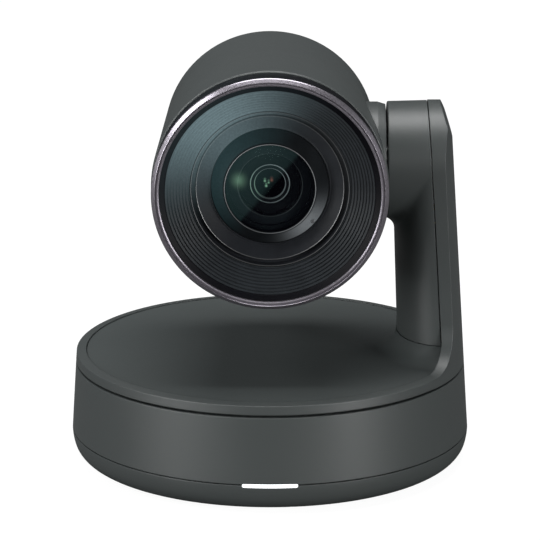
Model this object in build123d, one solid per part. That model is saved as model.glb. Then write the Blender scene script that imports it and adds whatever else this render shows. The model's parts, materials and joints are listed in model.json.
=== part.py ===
from build123d import *
import os
from math import acos, cos, hypot, pi, radians, sin, sqrt, tan

# ---------------------------------------------------------------------------
# PTZ conference camera. Millimetres. Origin: centre of the base, on the table.
# +Z is up, the lens looks along -Y at rest, and the arm stands at +X.
# ---------------------------------------------------------------------------

# Base
BASE_RADIUS = 76.0            # outer wall radius at WALL_DATUM
WALL_DATUM = 13.0
WALL_SLOPE = 0.062            # the whole outer wall is one cone, this much narrower per mm of height
WALL = 2.4                    # moulding thickness
COVER_BOTTOM = 0.8            # underside of the bottom cover, above the table
COVER_TOP = 11.8
COVER_FLAT_RADIUS = 62.5
SHELL_BOTTOM = 12.2
SHELL_TOP = 37.6
CHASSIS_BOTTOM = 5.5
CHASSIS_TOP = 7.5
RIB_BOTTOM = 14.6
POST_TOP = 33.0               # the base shell's screw posts stay below the turntable's screw heads
BASE_SCREW_CIRCLE = 58.0
BASE_SCREW_ANGLES = (40, 140, 215, 325)
INSERT_HOLE_RADIUS = 3.175    # 1/4-20 UNC, hole wall at the thread's major diameter
INSERT_HOLE_TOP = 9.8
INSERT_CLEARANCE = 6.2        # hole for the insert's body in the cover and chassis

# Board and ports at the rear of the base
BOARD_BOTTOM = 16.0
BOARD_TOP = 17.6
BOARD_POSTS = [(x, y) for x in (-34, 34) for y in (29, 51)]
PORT_Z = 21.6
JACK_X = -17.0
USB_X = -2.0
VIDEO_X = 14.0
PORT_OPENINGS = ((JACK_X, 4.6, 4.3), (USB_X, 4.6, 1.7), (VIDEO_X, 7.6, 2.9))    # x, half width, half height

# Light bar in the seam at the front of the base
LIGHT_WIDTH = 20.6
LIGHT_HEIGHT = 1.2
LIGHT_Z = 11.7

# Turntable
RIM_BOTTOM = 38.4
RIM_EDGE_Z = 42.0             # where the wall turns into the sloping rim
RIM_INNER_RADIUS = 70.5
RIM_INNER_Z = 42.5
DECK_Z = 42.1
DECK_THICKNESS = 1.6
LEDGE_TOP = 39.8
LEDGE_RADIUS = 54.0
ARM_INNER_SLOPE = 0.0772      # slope of the arm's inner seam cone
SEAM_GAP = 0.3
TURNTABLE_SCREW_CIRCLE = 57.0
TURNTABLE_SCREW_ANGLES = (45, 135, 225, 315)

# Arm and tilt boss
TILT_HEIGHT = 116.7
ARM_HALF_WIDTH = 22.6         # at the tilt axis
ARM_FOOT_HALF_WIDTH = 24.4
ARM_FOOT_Z = 58.0
ARM_FOOT_REACH = 42.0         # the arm's foot sweeps out this far to each side
ARM_PLANE_X = 60.9            # inner face of the arm at the tilt axis
ARM_PLANE_SLOPE = 0.06
COLUMN_BOTTOM = 50.0
COLUMN_BULGE_X = 48.6         # innermost line of the column at its foot
BOSS_FACE_X = 44.2
BOSS_FACE_RADIUS = 22.0
BOSS_END_X = 64.0
COLUMN_FILLET = 5.0           # under the boss, where the column meets it
FACET_TOP = (64.2, 139.3)     # the flat cut across the arm's top corner
FACET_FOOT = (68.95, 126.0)

# Head
FRONT = 50.6                  # datum of all lens depths, ahead of the tilt axis
TRIM_AHEAD = 3.8              # front plane of the trim ring, ahead of that datum
BARREL_FRONT_RADIUS = 44.0
BARREL_REAR_RADIUS = 40.6
BARREL_FRONT = 42.6
BARREL_REAR = -42.4
BARREL_REAR_ROUND = 2.2
TRIM_RADIUS = 43.7
TRIM_INNER_RADIUS = 40.75
BEZEL_RADIUS = 43.3
BEZEL_INNER_RADIUS = 38.7
BAFFLE_RADIUS = 38.6
NECK_RADIUS = 21.8
NECK_FACE_X = 43.6
NECK_OPENING_RADIUS = 14.0    # hole in the barrel's side, behind the neck

# Pan drive
PAN_MODULE = 1.0
PAN_GEAR_TEETH = 60
PINION_TEETH = 15
PAN_GEAR_Z = 27.0
PAN_MOTOR_ANGLE = 225.0
PAN_MOTOR_RADIUS = 13.0

# Tilt drive
TILT_MODULE = 0.55
TILT_GEAR_TEETH = 60
TILT_GEAR_X = 60.6
BRACKET_X = 57.8              # inner face of the tilt bracket
BRACKET_THICKNESS = 1.8
SHAFT_RADIUS = 6.0
SHAFT_BORE = 4.0
TILT_BEARING_RADIUS = 10.5
BRACKET_SCREW_PLACES = [(y, z) for y in (-14, 14) for z in (83, 98)]

# Lens drive
ROD_RADIUS = 1.0
ROD_OFFSET = 17.5             # guide rods and screws from the lens axis
SCREW_RADIUS = 1.2
RUNNING_GAP = 0.05
ZOOM_SCREW_ANGLE = 30.0
FOCUS_SCREW_ANGLE = 150.0
ZOOM_CELL_DEPTH = 13.4
FOCUS_CELL_DEPTH = 30.0
HOUSING_REAR_DEPTH = 46.0
RIB_COUNT = 8
HOUSING_EAR_CIRCLE = 31.5
HOUSING_EAR_ANGLES = (45, 135, 225, 315)
LOCK_SCREW_CIRCLE = 20.6      # the one small screw that locks the front retainer
LOCK_SCREW_DEPTH = 9.7
LOCK_SCREW_ANGLE = -40.0
SPACER_PLACES = [(x, z) for x in (-9, 9) for z in (-16.5, 16.5)]

PAN_CENTRES = PAN_MODULE * (PAN_GEAR_TEETH + PINION_TEETH) / 2
TILT_CENTRES = TILT_MODULE * (TILT_GEAR_TEETH + PINION_TEETH) / 2


# --------------------------------------------------------------------------- helpers

def wall_radius(z):
    return BASE_RADIUS - WALL_SLOPE * (z - WALL_DATUM)


def arm_inner_radius(z):
    return RIM_INNER_RADIUS - ARM_INNER_SLOPE * (z - RIM_INNER_Z)


def arm_plane_x(z):
    return ARM_PLANE_X + ARM_PLANE_SLOPE * (TILT_HEIGHT - z)


def turned(*points):
    """Solid of revolution about Z of a closed outline of (radius, height) points."""
    outline = Polyline(*[(r, 0, z) for r, z in points], close=True)
    return revolve(make_face(outline), Axis.Z)


def tube(outer, inner, low, high):
    return turned((inner, low), (outer, low), (outer, high), (inner, high))


def disc(radius, low, high):
    return Pos(0, 0, low) * extrude(Circle(radius), high - low)


def block(x0, x1, y0, y1, z0, z1):
    return Pos((x0 + x1) / 2, (y0 + y1) / 2, (z0 + z1) / 2) * Box(x1 - x0, y1 - y0, z1 - z0)


def at_angle(radius, angle):
    return radius * cos(radians(angle)), radius * sin(radians(angle))


def group(items):
    return Compound(children=list(items))


def cone_solid(radius_at, low, high, inset=0.0):
    return turned((0, low), (radius_at(low) - inset, low), (radius_at(high) - inset, high), (0, high))


def on_tilt_axis(part):
    """Turn a part built along Z so that it lies along +X on the tilt axis."""
    return Pos(0, 0, TILT_HEIGHT) * Rot(0, 90, 0) * part


def on_lens_axis(part):
    """Turn a part built along Z so that its +Z looks forward (-Y) at the head's height."""
    return Pos(0, 0, TILT_HEIGHT) * Rot(90, 0, 0) * part


def lens_turned(*points):
    """Solid of revolution about the lens axis, of (radius, depth behind the front plane) points."""
    return on_lens_axis(turned(*[(r, FRONT - depth) for r, depth in points]))


def lens_tube(outer, inner, near, far):
    return lens_turned((inner, near), (outer, near), (outer, far), (inner, far))


def lens_rod(x, z, radius, near, far):
    """Cylinder parallel to the lens axis, x and z measured from it."""
    rod = Pos(x, z, FRONT - far) * extrude(Circle(radius), far - near)
    return on_lens_axis(rod)


def lens_block(x0, x1, z0, z1, near, far):
    return block(x0, x1, near - FRONT, far - FRONT, TILT_HEIGHT + z0, TILT_HEIGHT + z1)


def mid_height(radius, sag):
    """Height of a spherical cap at half its edge radius."""
    sphere = (radius ** 2 + sag ** 2) / (2 * sag)
    return sqrt(sphere ** 2 - (radius / 2) ** 2) - (sphere - sag)


def lens_element(radius, near_edge, far_edge, near_sag, far_sag):
    """Lens whose two faces stand out past its edges by the given sags."""
    near = FRONT - near_edge
    far = FRONT - far_edge
    near_mid = near + mid_height(radius, near_sag)
    far_mid = far - mid_height(radius, far_sag)
    front_arc = ThreePointArc((radius, 0, near), (radius / 2, 0, near_mid), (0, 0, near + near_sag))
    axis_line = Line((0, 0, near + near_sag), (0, 0, far - far_sag))
    back_arc = ThreePointArc((0, 0, far - far_sag), (radius / 2, 0, far_mid), (radius, 0, far))
    edge_line = Line((radius, 0, far), (radius, 0, near))
    outline = make_face([front_arc, axis_line, back_arc, edge_line])
    return on_lens_axis(revolve(outline, Axis.Z))


def involute_angle(base_radius, radius):
    pressure = acos(min(1.0, base_radius / radius))
    return tan(pressure) - pressure


def gear(module, teeth, width, bore):
    """Spur gear about Z with a tooth centred on +X, with a little backlash."""
    pitch_radius = module * teeth / 2
    base_radius = pitch_radius * cos(radians(20))
    tip_radius = pitch_radius + 0.8 * module
    root_radius = pitch_radius - 1.05 * module
    half_tooth = pi / (2 * teeth) - 0.05 * module / pitch_radius
    start_radius = max(base_radius, root_radius)
    steps = 4
    flank = []
    for step in range(steps + 1):
        radius = start_radius + (tip_radius - start_radius) * step / steps
        spread = involute_angle(base_radius, pitch_radius) - involute_angle(base_radius, radius)
        angle = half_tooth + spread
        flank.append((radius, angle))
    root_angle = flank[0][1]
    half_outline = [(root_radius, root_angle)] + flank if start_radius > root_radius else flank
    outline = []
    for tooth in range(teeth):
        centre = 2 * pi * tooth / teeth
        rising = [(r, centre - a) for r, a in half_outline]
        falling = [(r, centre + a) for r, a in reversed(half_outline)]
        outline += [(r * cos(a), r * sin(a)) for r, a in rising + falling]
    body = extrude(make_face(Polyline(*outline, close=True)), width)
    return body - disc(bore, -1, width + 1)


def ball_bearing(bore_radius, outer_radius, width, ball_radius, count):
    """Inner ring, outer ring and balls about Z, from z = 0 up."""
    pitch = (bore_radius + outer_radius) / 2
    land = ball_radius * 0.55
    race = Pos(0, 0, width / 2) * Torus(pitch, ball_radius + RUNNING_GAP)
    inner = tube(pitch - land, bore_radius, 0, width) - race
    outer = tube(outer_radius, pitch + land, 0, width) - race
    balls = []
    for index in range(count):
        x, y = at_angle(pitch, 360 * index / count)
        balls.append(Pos(x, y, width / 2) * Sphere(ball_radius))
    return inner, outer, balls


def screw(length, shank_radius=1.25, head_radius=2.4, head_height=1.4):
    """Pan-head screw along Z: the head's underside is at z = 0 and the shank points down."""
    head = turned(
        (0, 0), (head_radius, 0), (head_radius, head_height * 0.6), (head_radius * 0.7, head_height),
        (0, head_height))
    slot_length, slot_width, slot_depth = head_radius * 1.1, head_radius * 0.22, head_height * 0.6
    recess = Pos(0, 0, head_height) * Box(slot_length, slot_width, slot_depth)
    cross_recess = Pos(0, 0, head_height) * Box(slot_width, slot_length, slot_depth)
    return head + disc(shank_radius, -length, 0) - recess - cross_recess


# --------------------------------------------------------------------------- base

def cover_profile():
    """Rounded lower edge of the base: a squared-off quarter oval from the seam down to the underside."""
    top = COVER_TOP + 2.0
    width, height = BASE_RADIUS - COVER_FLAT_RADIUS, top - COVER_BOTTOM
    squareness = 0.64
    points = []
    for turn in (15, 30, 45, 60, 75):
        radius = COVER_FLAT_RADIUS + width * cos(radians(turn)) ** squareness
        points.append((radius, 0, top - height * sin(radians(turn)) ** squareness))
    return points


def bottom_cover():
    floor_top = 3.8
    start = (wall_radius(COVER_TOP), 0, COVER_TOP)
    end = (COVER_FLAT_RADIUS, 0, COVER_BOTTOM)
    corner = Spline(start, *cover_profile(), end, tangents=((0, 0, -1), (-1, 0, 0)))
    inner = wall_radius(COVER_TOP) - WALL
    rest = Polyline(
        (COVER_FLAT_RADIUS, 0, COVER_BOTTOM), (0, 0, COVER_BOTTOM), (0, 0, floor_top), (61.5, 0, floor_top),
        (inner, 0, 8.0), (inner, 0, COVER_TOP), start)
    cover = revolve(make_face([corner, rest]), Axis.Z)
    lip = turned(
        (inner + 0.2, 8.5), (inner + 0.2, 10.0), (inner - 0.3, 11.0), (inner - 0.3, 14.2),
        (inner - 1.8, 14.2), (inner - 1.8, 8.5))
    boss = disc(4, floor_top - 0.5, CHASSIS_BOTTOM)
    bosses = group([Pos(*at_angle(BASE_SCREW_CIRCLE, a), 0) * boss for a in BASE_SCREW_ANGLES])
    cover = cover + lip + bosses
    cover -= tube(54.2, 47.8, 0, 2.0)
    cover -= disc(INSERT_CLEARANCE, 0, 6)
    for angle in BASE_SCREW_ANGLES:
        x, y = at_angle(BASE_SCREW_CIRCLE, angle)
        cover -= Pos(x, y, 0) * disc(1.6, 0, 6)
        cover -= Pos(x, y, 0) * disc(2.7, 0, 2.6)
    return cover - light_slot(0.15)


def light_slot(margin):
    """Rounded slot through the front wall at the seam."""
    outline = SlotOverall(LIGHT_WIDTH + 2 * margin, LIGHT_HEIGHT + 2 * margin)
    return Pos(0, -70.6, LIGHT_Z) * Rot(90, 0, 0) * extrude(outline, 8)


def light_bar():
    wall = cone_solid(wall_radius, 5, 20)
    return light_slot(0.0) & wall


def foot_ring():
    return turned((48, 0.3), (48.3, 0), (53.7, 0), (54, 0.3), (54, 1.9), (48, 1.9))


def base_shell():
    top_radius = wall_radius(SHELL_TOP)
    low_radius = wall_radius(SHELL_BOTTOM)
    shell = turned(
        (low_radius, SHELL_BOTTOM), (top_radius + 0.02, SHELL_TOP - 0.3), (top_radius - 0.3, SHELL_TOP),
        (62.0, SHELL_TOP), (62.0, SHELL_TOP - 2.0), (top_radius - WALL, SHELL_TOP - 2.0),
        (low_radius - WALL, SHELL_BOTTOM))
    for angle in BASE_SCREW_ANGLES:
        x, y = at_angle(BASE_SCREW_CIRCLE, angle)
        foot = Pos(x, y, 0) * disc(3.6, CHASSIS_TOP, POST_TOP)
        outward_x, outward_y = at_angle(66, angle)
        rib_middle = (RIB_BOTTOM + POST_TOP) / 2
        rib = Pos(outward_x, outward_y, rib_middle) * Rot(0, 0, angle) * Box(14, 2, POST_TOP - RIB_BOTTOM)
        post = foot + (rib & cone_solid(wall_radius, 10, 38, 1.0))
        shell += post - Pos(x, y, 0) * disc(1.25, 0, 16)
    shell -= light_slot(0.15)
    frame = block(-26.6, 26.6, 65.8, 80, 14.6, 29.4) & cone_solid(wall_radius, 10, 38, 0.2)
    shell = shell + frame - block(-25, 25, 60, 80, 16.2, 27.8)
    return shell - block(-80, -66, 26, 33, 18.0, 21.0)


def chassis_plate():
    """Steel plate on the cover's bosses, with the board's posts and the pan motor's bridge."""
    plate = disc(66, CHASSIS_BOTTOM, CHASSIS_TOP) - disc(INSERT_CLEARANCE, 0, 10)
    plate -= block(-15, 15, -70, -60, 0, 10)
    for angle in BASE_SCREW_ANGLES:
        plate -= Pos(*at_angle(BASE_SCREW_CIRCLE, angle), 0) * disc(1.6, 0, 10)
    motor_x, motor_y = at_angle(PAN_CENTRES, PAN_MOTOR_ANGLE)
    plate -= Pos(motor_x, motor_y, 0) * disc(PAN_MOTOR_RADIUS + 0.4, 0, 10)
    for x, y in ((-50, 15), (50, 15), (50, -10), (12, -48)):
        plate -= Pos(x, y, 0) * disc(5, 0, 10)
    for x, y in BOARD_POSTS:
        post = extrude(RegularPolygon(2.6, 6), BOARD_BOTTOM - CHASSIS_TOP + 0.5)
        plate += Pos(x, y, CHASSIS_TOP - 0.5) * post
        plate += Pos(x, y, 0) * disc(0.95, BOARD_BOTTOM - 0.5, BOARD_TOP + 0.6)
    for dx, dy in ((-14, -14), (14, -14), (-14, 14)):
        plate += Pos(motor_x + dx, motor_y + dy, CHASSIS_TOP - 0.5) * disc(2.2, 0, 17.1)
    strap = Pos(motor_x, motor_y, 24.1) * extrude(RectangleRounded(34, 34, 5), 1.5)
    strap -= Pos(motor_x, motor_y, 0) * disc(4.1, 20, 30)
    return plate + (strap - disc(22.5, 20, 30))


def base_screws():
    items = []
    for angle in BASE_SCREW_ANGLES:
        x, y = at_angle(BASE_SCREW_CIRCLE, angle)
        items.append(Pos(x, y, 2.6) * Rot(180, 0, 0) * screw(12.0))
    return group(items)


def tripod_insert():
    body = disc(6.0, COVER_BOTTOM, 11.0) + disc(9.0, 3.9, 5.4)
    return body - disc(INSERT_HOLE_RADIUS, 0, INSERT_HOLE_TOP)


def pan_spindle():
    spindle = turned(
        (9.0, CHASSIS_TOP), (22, CHASSIS_TOP), (22, 9.6), (14.6, 9.6), (14.6, 25.9), (13.0, 25.9),
        (13.0, 35.0), (9.0, 35.0))
    return spindle - block(-4, 4, 7, 16, 16.0, 24.0)


def pan_bearing():
    inner, outer, balls = ball_bearing(13.0, 23.0, 6.0, 2.2, 14)
    lift = Pos(0, 0, 26.0)
    return lift * inner, lift * outer, group([lift * ball for ball in balls])


def pan_motor():
    x, y = at_angle(PAN_CENTRES, PAN_MOTOR_ANGLE)
    can = disc(PAN_MOTOR_RADIUS, 6.2, 24.0)
    can = fillet(can.edges().group_by(Axis.Z)[-1], 1.0)
    body = can + disc(4.0, 24.0, 25.4) - disc(1.55, 18.0, 26)
    return Pos(x, y, 0) * body


def pan_pinion():
    x, y = at_angle(PAN_CENTRES, PAN_MOTOR_ANGLE)
    wheel = Rot(0, 0, PAN_MOTOR_ANGLE) * gear(PAN_MODULE, PINION_TEETH, 5.0, 0.8)
    shaft = disc(1.5, -8.0, 5.5)
    return Pos(x, y, PAN_GEAR_Z - 0.5) * (wheel + shaft)


def main_board():
    """Circuit board over the rear of the chassis, with its soldered chips and harness plug."""
    board = block(-38, 38, 25, 55, BOARD_BOTTOM, BOARD_TOP)
    for x, y in BOARD_POSTS:
        board -= Pos(x, y, 0) * disc(1.0, 10, 20)
    chips = [(-14, 40, 14, 14), (12, 40, 10, 10), (26, 40, 8, 6), (-29, 42, 6, 5)]
    for x, y, width, depth in chips:
        chip = Box(width, depth, 1.7)
        board += Pos(x, y, BOARD_TOP + 0.75) * chip
    return board + block(-5, 5, 26.5, 31.0, BOARD_TOP - 0.1, 23.0)


def port_panel():
    panel = block(-24.9, 24.9, 66.0, 67.6, 16.3, 27.7)
    for x, half_width, half_height in PORT_OPENINGS:
        panel -= block(x - half_width, x + half_width, 60, 80, PORT_Z - half_height, PORT_Z + half_height)
    return panel


def power_jack():
    """Round power socket with its centre pin, opening to the rear."""
    half_width = 4.4
    body = block(JACK_X - half_width, JACK_X + half_width, 53.0, 67.4, BOARD_TOP, PORT_Z + 4.0)
    body -= Pos(JACK_X, 68, PORT_Z) * Rot(90, 0, 0) * disc(3.2, 0, 10)
    return body + Pos(JACK_X, 67.0, PORT_Z) * Rot(90, 0, 0) * disc(1.0, 0, 10)


def socket(x, half_width, half_height, depth):
    """Metal socket shell with its tongue, open to the rear."""
    low, high = PORT_Z - half_height, PORT_Z + half_height
    shell = block(x - half_width, x + half_width, 67.4 - depth, 67.4, low, high)
    wall = 0.4
    hollow = block(x - half_width + wall, x + half_width - wall, 69 - depth, 69, low + wall, high - wall)
    tongue = block(x - half_width * 0.7, x + half_width * 0.7, 68 - depth, 66.4, PORT_Z - 0.35, PORT_Z + 0.35)
    return shell - hollow + tongue


def usb_port():
    return socket(USB_X, 4.4, 1.5, 10.0)


def video_port():
    return socket(VIDEO_X, 7.4, 2.7, 12.0)


def led_board():
    """Small board behind the light bar with its row of lamps soldered on."""
    board = block(-12, 12, -69.4, -68.2, 7.6, 15.6)
    for x in (-7.5, -2.5, 2.5, 7.5):
        board += block(x - 1.4, x + 1.4, -70.4, -69.4, LIGHT_Z - 0.8, LIGHT_Z + 0.8)
    return board


def base_harness():
    bend_z = 20.0
    rod_down = disc(2.2, bend_z, 34.5)
    rod_out = Pos(0, 0, bend_z) * Rot(-90, 0, 0) * disc(2.2, 0, 26.5)
    elbow = Pos(0, 0, bend_z) * Sphere(2.2)
    return rod_down + rod_out + elbow


# --------------------------------------------------------------------------- turntable

def rim_solid():
    edge = wall_radius(RIM_EDGE_Z)
    return turned(
        (LEDGE_RADIUS, RIM_BOTTOM), (wall_radius(RIM_BOTTOM) - 0.3, RIM_BOTTOM),
        (wall_radius(RIM_BOTTOM), RIM_BOTTOM + 0.3),
        (edge, RIM_EDGE_Z - 0.15), (edge - 0.25, RIM_EDGE_Z), (RIM_INNER_RADIUS, RIM_INNER_Z),
        (RIM_INNER_RADIUS, LEDGE_TOP), (LEDGE_RADIUS, LEDGE_TOP))


def arm_outline():
    """Side view of the arm: a tapering post with a round top that sweeps out into the rim."""
    top = ARM_HALF_WIDTH
    side = ARM_FOOT_HALF_WIDTH
    reach = ARM_FOOT_REACH
    foot = RIM_BOTTOM
    edges = [
        Line((0, -reach, foot), (0, reach, foot)),
        Line((0, reach, foot), (0, reach, RIM_EDGE_Z)),
        sweep_arc(reach, side, 1),
        Line((0, side, ARM_FOOT_Z), (0, top, TILT_HEIGHT)),
        ThreePointArc((0, top, TILT_HEIGHT), (0, 0, TILT_HEIGHT + top), (0, -top, TILT_HEIGHT)),
        Line((0, -top, TILT_HEIGHT), (0, -side, ARM_FOOT_Z)),
        sweep_arc(reach, side, -1),
        Line((0, -reach, RIM_EDGE_Z), (0, -reach, foot)),
    ]
    return make_face(edges)


def sweep_arc(reach, side, sign):
    """Quarter sweep from the rim up into the side of the arm, hollow side out."""
    width = reach - side
    height = ARM_FOOT_Z - RIM_EDGE_Z
    middle = (0, sign * (side + width * (1 - sin(radians(45)))), RIM_EDGE_Z + height * (1 - sin(radians(45))))
    return ThreePointArc((0, sign * reach, RIM_EDGE_Z), middle, (0, sign * side, ARM_FOOT_Z))


def inner_half_space(offset=0.0, low=30.0, high=150.0):
    """Everything on the lens side of the arm's inner seam plane."""
    outline = Polyline(
        (-100, -90, low), (arm_plane_x(low) + offset, -90, low), (arm_plane_x(high) + offset, -90, high),
        (-100, -90, high), close=True)
    return extrude(make_face(outline), amount=180, dir=(0, 1, 0))


def deck_space(offset=0.0):
    """Space inside the rim and the arm's inner faces."""
    inner = cone_solid(arm_inner_radius, 30, 150, -offset)
    return inner & inner_half_space(offset)


def facet_cutter(offset=0.0):
    top_x, top_z = FACET_TOP
    foot_x, foot_z = FACET_FOOT
    run, drop = foot_x - top_x, top_z - foot_z
    length = hypot(run, drop)
    along = (run / length, -drop / length)
    out = (drop / length, run / length)
    start = (top_x - along[0] * 12 - out[0] * offset, top_z - along[1] * 12 - out[1] * offset)
    end = (foot_x + along[0] * 12 - out[0] * offset, foot_z + along[1] * 12 - out[1] * offset)
    outline = Polyline(
        (start[0], -40, start[1]), (end[0], -40, end[1]), (end[0] + out[0] * 30, -40, end[1] + out[1] * 30),
        (start[0] + out[0] * 30, -40, start[1] + out[1] * 30), close=True)
    return extrude(make_face(outline), amount=80, dir=(0, 1, 0))


def arm_frame():
    post = extrude(arm_outline(), amount=30, dir=(1, 0, 0))
    post = Pos(50, 0, 0) * post
    post = post & cone_solid(wall_radius, 38, 145)
    post -= deck_space()
    post -= facet_cutter()
    reach = ARM_HALF_WIDTH - WALL
    cavity = block(50, 80, -reach, reach, 45, TILT_HEIGHT) + on_tilt_axis(disc(reach, 50, 80))
    cavity = cavity & cone_solid(wall_radius, 44, 145, WALL)
    cavity -= facet_cutter(WALL)
    frame = rim_solid() + (post & block(40, 80, -60, 60, RIM_BOTTOM, 140)) - cavity
    for angle in TURNTABLE_SCREW_ANGLES:
        frame -= Pos(*at_angle(TURNTABLE_SCREW_CIRCLE, angle), 0) * disc(1.5, 30, 41)
    for y, z in BRACKET_SCREW_PLACES:
        lug = Pos(0, y, z) * Rot(0, 90, 0) * disc(2.2, BRACKET_X + BRACKET_THICKNESS, 70)
        lug &= cone_solid(wall_radius, 38, 145, 1.0) - facet_cutter(1.0)
        frame += lug
        frame -= Pos(0, y, z) * Rot(0, 90, 0) * disc(0.8, 50, 63.5)
    return frame


def column_section(z, inset):
    half_x = arm_plane_x(z) - column_inner_x(z) - inset
    half_y = (ARM_FOOT_HALF_WIDTH - 0.3 if z < TILT_HEIGHT else ARM_HALF_WIDTH - 0.2) - inset
    return Pos(arm_plane_x(z), 0, z) * Ellipse(half_x, half_y)


def column_inner_x(z):
    return COLUMN_BULGE_X - 0.035 * (z - COLUMN_BOTTOM)


def column_solid(inset=0.0, low=COLUMN_BOTTOM):
    return loft([column_section(low, inset), column_section(TILT_HEIGHT, inset)], ruled=True)


def boss_radius(x):
    """Radius of the slightly tapered tilt boss at a distance from the pan axis."""
    along = (x - BOSS_FACE_X) / (BOSS_END_X - BOSS_FACE_X)
    return BOSS_FACE_RADIUS + (ARM_HALF_WIDTH - 0.1 - BOSS_FACE_RADIUS) * along


def boss_solid(face_x, inset=0.0):
    boss = turned(
        (0, face_x), (boss_radius(face_x) - inset, face_x), (boss_radius(BOSS_END_X) - inset, BOSS_END_X),
        (0, BOSS_END_X))
    return on_tilt_axis(boss)


def column_cover():
    """Inner half of the arm: an oval column that flows into the round tilt boss, moulded hollow."""
    long_boss = boss_solid(BOSS_FACE_X - 8.0)
    outer = (column_solid() + long_boss) & inner_half_space(-SEAM_GAP)
    curved = outer.edges().filter_by(GeomType.BSPLINE)
    crease = curved.filter_by(lambda edge: edge.center().Z > 90 and edge.length > 20)
    outer = fillet(crease, COLUMN_FILLET)
    outer -= block(30, BOSS_FACE_X, -30, 30, 80, 150)
    rim = outer.edges().filter_by(GeomType.CIRCLE).sort_by(Axis.X)[0]
    outer = fillet(rim, 0.6)
    hollow = column_solid(2.2, COLUMN_BOTTOM - 1.0) + boss_solid(BOSS_FACE_X + 2.0, 2.0)
    return outer - hollow - on_tilt_axis(disc(SHAFT_RADIUS + 0.4, 40, 60))


def deck_panel():
    collar_z = COLUMN_BOTTOM - 0.25
    plate = block(-90, 110, -90, 90, DECK_Z - DECK_THICKNESS, DECK_Z)
    foot_x = arm_plane_x(46)
    collar = Pos(foot_x, 0, DECK_Z - 0.5) * extrude(Ellipse(16.9, 24.1), collar_z - DECK_Z + 0.5)
    panel = plate + collar
    foot = panel.edges().filter_by(lambda edge: edge.is_closed).sort_by(Axis.Z)[0]
    panel = fillet(foot, 7.0)
    panel -= Pos(foot_x, 0, 30) * extrude(Ellipse(14.9, 22.0), 40)
    return panel & deck_space(-SEAM_GAP)


def turntable_plate():
    plate = disc(60, 36.2, RIM_BOTTOM) - disc(10, 30, 42)
    hub = tube(26.0, 23.0, 25.9, 36.3)
    shoulder = tube(23.5, 20.6, 32.1, 36.3)
    plate = plate + hub + shoulder
    for angle in TURNTABLE_SCREW_ANGLES:
        plate -= Pos(*at_angle(TURNTABLE_SCREW_CIRCLE, angle), 0) * disc(1.6, 30, 42)
    for angle in range(30, 360, 60):
        plate -= Pos(*at_angle(40, angle), 0) * disc(7, 30, 42)
    return plate


def turntable_screws():
    item = Rot(180, 0, 0) * screw(3.2, 1.2, 2.2, 1.1)
    return group([Pos(*at_angle(TURNTABLE_SCREW_CIRCLE, a), 36.2) * item for a in TURNTABLE_SCREW_ANGLES])


def pan_gear():
    wheel = Rot(0, 0, PAN_MOTOR_ANGLE) * gear(PAN_MODULE, PAN_GEAR_TEETH, 4.0, 26.0)
    return Pos(0, 0, PAN_GEAR_Z) * wheel


def arm_flex():
    """Flat flexible cable from the hub, under the deck and up the column to the tilt motor."""
    across = block(-4, 57.0, -4, 4, 39.95, 40.3)
    upward = block(56.6, 57.0, -4, 4, 39.95, 84.0)
    plug = block(55.0, 57.6, -5, 5, 82.0, 87.0)
    return across + upward + plug


def tilt_bracket():
    plate = block(BRACKET_X, BRACKET_X + BRACKET_THICKNESS, -17, 17, 79, TILT_HEIGHT)
    plate += on_tilt_axis(disc(19.0, BRACKET_X, BRACKET_X + BRACKET_THICKNESS))
    cup = on_tilt_axis(tube(12.0, TILT_BEARING_RADIUS, 51.6, BRACKET_X + 0.5))
    bracket = plate + cup
    bracket -= on_tilt_axis(disc(9.0, 50, 62))
    bracket -= Pos(0, 0, -TILT_CENTRES) * on_tilt_axis(disc(2.1, 50, 62))
    for y, z in BRACKET_SCREW_PLACES:
        bracket -= Pos(0, y, z) * Rot(0, 90, 0) * disc(1.0, 50, 62)
    return bracket


def bracket_screws():
    item = Rot(0, -90, 0) * screw(5.0, 0.8, 1.5, 1.0)
    return group([Pos(BRACKET_X, y, z) * item for y, z in BRACKET_SCREW_PLACES])


def tilt_bearing():
    inner, outer, balls = ball_bearing(SHAFT_RADIUS, TILT_BEARING_RADIUS, 5.0, 1.2, 12)
    shift = 52.4
    place = [on_tilt_axis(Pos(0, 0, shift) * item) for item in (inner, outer)]
    return place[0], place[1], group([on_tilt_axis(Pos(0, 0, shift) * ball) for ball in balls])


def tilt_motor():
    can = disc(8.2, 51.4, BRACKET_X)
    pilot = disc(2.0, BRACKET_X, BRACKET_X + BRACKET_THICKNESS)
    return Pos(0, 0, -TILT_CENTRES) * on_tilt_axis(can + pilot - disc(1.05, 54, 62))


def tilt_pinion():
    wheel = gear(TILT_MODULE, PINION_TEETH, 3.0, 0.6)
    shaft = disc(1.0, -5.0, 3.2)
    return Pos(0, 0, -TILT_CENTRES) * on_tilt_axis(Pos(0, 0, TILT_GEAR_X - 0.2) * (wheel + shaft))


# --------------------------------------------------------------------------- head casing

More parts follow.
